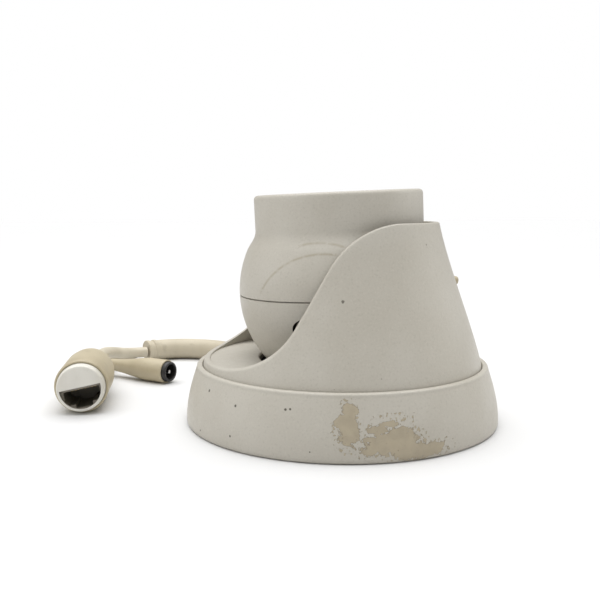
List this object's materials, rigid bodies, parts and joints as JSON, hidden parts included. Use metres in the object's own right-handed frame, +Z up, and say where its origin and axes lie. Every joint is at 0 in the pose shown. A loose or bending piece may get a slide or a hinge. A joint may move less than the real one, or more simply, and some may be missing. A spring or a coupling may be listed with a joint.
{
  "type": "dome cctv camera",
  "caption": "Turret dome security camera: a ball eye in a swept shroud that pans on a round base, with a pigtail ending in a network socket and a power jack.",
  "frame": {"origin": "centre of the base ring's underside, on the surface the camera stands on", "axes": "+Z up along the pan axis; -Y is the low side of the shroud, towards which the eye tilts; the pigtail lies towards -X and -Y"},
  "size_m": [0.149, 0.1355, 0.0687],
  "materials": {
    "shell_paint": "fine satin paint over cream plastic, worn through in patches on the base",
    "cream_plastic": "satin moulded, aged cream",
    "lead_sheath": "satin cable sheath, light grey",
    "white_plastic": "semi-gloss moulded",
    "black_plastic": "matt moulded",
    "black_rubber": "matt",
    "dark_glass": "polished, dark tint",
    "board_green": "solder mask",
    "steel": "turned",
    "gold": "plated",
    "aluminium": "cast, satin"
  },
  "bodies": {
    "root": {"base_ring": "shell_paint", "base_plate": "aluminium", "pan_washer": "black_plastic", "shroud_keeper": "aluminium", "plate_screw_1": "steel", "plate_screw_2": "steel", "plate_screw_3": "steel", "keeper_screw_1": "steel", "keeper_screw_2": "steel", "keeper_screw_3": "steel", "cable_grommet": "black_rubber", "inner_cable": "lead_sheath", "main_cable": "cream_plastic", "net_lead": "lead_sheath", "dc_lead": "lead_sheath", "rj45_head": "cream_plastic", "rj45_insert": "white_plastic", "rj45_contacts": "gold", "dc_jack": "cream_plastic", "dc_insert": "black_plastic", "dc_pin": "steel"},
    "shroud_body": {"shroud": "shell_paint", "ball_seat_ring": "black_rubber", "lock_screw": "steel"},
    "tilt_body": {"swivel_collar": "black_plastic"},
    "eye_body": {"eye_front_shell": "shell_paint", "eye_rear_shell": "shell_paint", "shell_screw_1": "steel", "shell_screw_2": "steel", "shell_screw_3": "steel", "eye_seal": "black_rubber", "window_gasket": "black_rubber", "eye_grommet": "black_rubber", "front_window": "dark_glass", "lens_barrel": "black_plastic", "front_lens": "dark_glass", "lens_holder": "black_plastic", "ir_cut_filter": "dark_glass", "image_sensor": "black_plastic", "led_board": "board_green", "sensor_board": "board_green", "board_carrier": "black_plastic", "heat_sink": "aluminium", "main_board": "board_green", "cable_header": "white_plastic", "foam_baffle": "black_rubber", "photocell": "dark_glass", "microphone": "aluminium", "ir_led_01": "dark_glass", "ir_led_02": "dark_glass", "ir_led_03": "dark_glass", "ir_led_04": "dark_glass", "ir_led_05": "dark_glass", "ir_led_06": "dark_glass", "ir_led_07": "dark_glass", "ir_led_08": "dark_glass", "ir_led_09": "dark_glass", "ir_led_10": "dark_glass"}
  },
  "joints": [
    {"name": "shroud_pan", "type": "hinge", "parent": "root", "child": "shroud_body", "pos_m": [0, 0, 0], "axis": [0, 0, 1], "range_deg": [-177.5, 177.5]},
    {"name": "eye_tilt", "type": "hinge", "parent": "shroud_body", "child": "tilt_body", "pos_m": [0, 0, 0.03885], "axis": [1, 0, 0], "range_deg": [-2.4, 70]},
    {"name": "eye_spin", "type": "hinge", "parent": "tilt_body", "child": "eye_body", "pos_m": [0, 0, 0.03885], "axis": [0, -0.0419, 0.9991], "range_deg": [-177.5, 177.5]}
  ]
}
